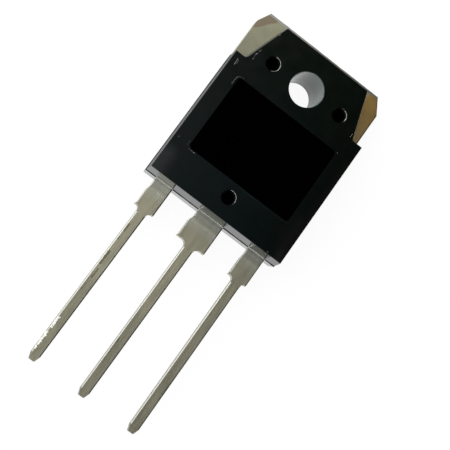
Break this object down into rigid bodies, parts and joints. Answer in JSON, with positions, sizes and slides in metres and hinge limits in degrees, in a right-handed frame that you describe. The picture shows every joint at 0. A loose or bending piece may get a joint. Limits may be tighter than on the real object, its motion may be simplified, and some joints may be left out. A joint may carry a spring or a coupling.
{
  "type": "triac",
  "caption": "Flat moulded power package with a copper mounting tab, a through-hole for a screw and three straight parallel leads; bidirectional AC switch.",
  "frame": {"origin": "centre of the mounting hole on the back face", "axes": "+Z along the mounting hole from the back face to the front face, +Y along the leads' direction towards the tab's top edge (the leads point along -Y), +X across the package"},
  "size_m": [0.015, 0.0401, 0.0048],
  "materials": {
    "black_epoxy": "smooth moulded epoxy, slightly glossy",
    "tarnished_copper": "plated copper with brown and golden tarnish",
    "plated_lead": "dull tin plate over copper",
    "bare_copper": "matt copper",
    "solder": "matt",
    "ceramic": "fired alumina",
    "silicon": "polished"
  },
  "bodies": {
    "root": {"mould_body": "black_epoxy", "header": "tarnished_copper", "header_solder": "solder", "ceramic_plate": "ceramic", "copper_track": "bare_copper", "die_solder": "solder", "triac_die": "silicon", "foot_solder": "solder", "main_clip_solder": "solder", "gate_clip_solder": "solder", "main_clip": "bare_copper", "gate_clip": "bare_copper", "lead_main_1": "plated_lead", "lead_main_2": "plated_lead", "lead_gate": "plated_lead"}
  },
  "joints": []
}
